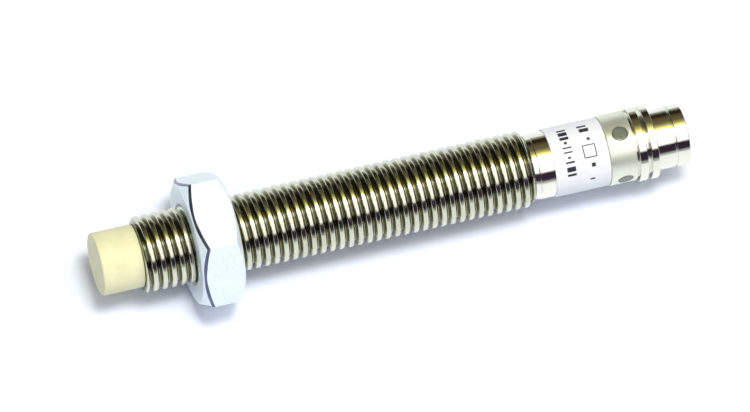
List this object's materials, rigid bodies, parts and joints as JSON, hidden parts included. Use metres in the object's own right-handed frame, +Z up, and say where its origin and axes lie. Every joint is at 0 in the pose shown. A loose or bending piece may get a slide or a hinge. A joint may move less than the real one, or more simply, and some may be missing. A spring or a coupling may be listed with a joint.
{
  "type": "proximity sensor",
  "caption": "Cylindrical inductive proximity sensor with a threaded metal barrel, a plastic sensing cap, a hex lock nut and a plug connector.",
  "frame": {"origin": "centre of the sensing face, on the sensor's axis", "axes": "+X along the sensor's axis from the sensing face towards the plug, +Z up out of one flat of the nut and one indicator window"},
  "size_m": [0.0633, 0.015, 0.013],
  "materials": {
    "ivory_plastic": "moulded, satin",
    "nickel_plating": "bright nickel plating on brass",
    "satin_nickel": "satin nickel plating on brass",
    "bright_nut_plating": "bright nickel plating on brass",
    "label_film": "white printed film",
    "ferrite": "sintered",
    "bobbin_plastic": "moulded",
    "enamelled_copper": "enamelled wire",
    "board_laminate": "glass laminate with green mask",
    "chip_epoxy": "moulded",
    "ceramic_chip": "fired",
    "resistor_chip": "fired",
    "led_resin": "clear tinted",
    "clear_polycarbonate": "clear",
    "insert_plastic": "moulded",
    "gold_plating": "gold plating on brass",
    "casting_resin": "cast"
  },
  "bodies": {
    "sensor": {"sensing_cap": "ivory_plastic", "threaded_barrel": "nickel_plating", "connector_shell": "satin_nickel", "label_sleeve": "label_film", "light_guide": "clear_polycarbonate", "ferrite_core": "ferrite", "coil_bobbin": "bobbin_plastic", "coil_winding": "enamelled_copper", "coil_lead_1": "enamelled_copper", "coil_lead_2": "enamelled_copper", "circuit_board": "board_laminate", "oscillator_chip": "chip_epoxy", "output_transistor": "chip_epoxy", "voltage_regulator": "chip_epoxy", "protection_diode": "chip_epoxy", "capacitor_1": "ceramic_chip", "capacitor_2": "ceramic_chip", "capacitor_3": "ceramic_chip", "resistor_1": "resistor_chip", "resistor_2": "resistor_chip", "resistor_3": "resistor_chip", "resistor_4": "resistor_chip", "indicator_led_1": "led_resin", "indicator_led_2": "led_resin", "contact_carrier": "insert_plastic", "contact_pin_1": "gold_plating", "contact_pin_2": "gold_plating", "contact_pin_3": "gold_plating", "front_resin": "casting_resin", "rear_resin": "casting_resin"},
    "nut_carrier": {"lock_nut_thread": "bright_nut_plating"},
    "nut": {"lock_nut": "bright_nut_plating"}
  },
  "joints": [
    {"name": "nut_travel", "type": "slide", "parent": "sensor", "child": "nut_carrier", "axis": [1, 0, 0], "range_m": [-0.00401, 0.03001]},
    {"name": "nut_turn", "type": "hinge", "parent": "nut_carrier", "child": "nut", "pos_m": [0.01205, 0, 0], "axis": [1, 0, 0], "range_deg": [-1440, 10800]}
  ],
  "couplings": [
    {"joint": "nut_travel", "follows": "nut_turn", "m_per_rad": 0.00015915}
  ]
}
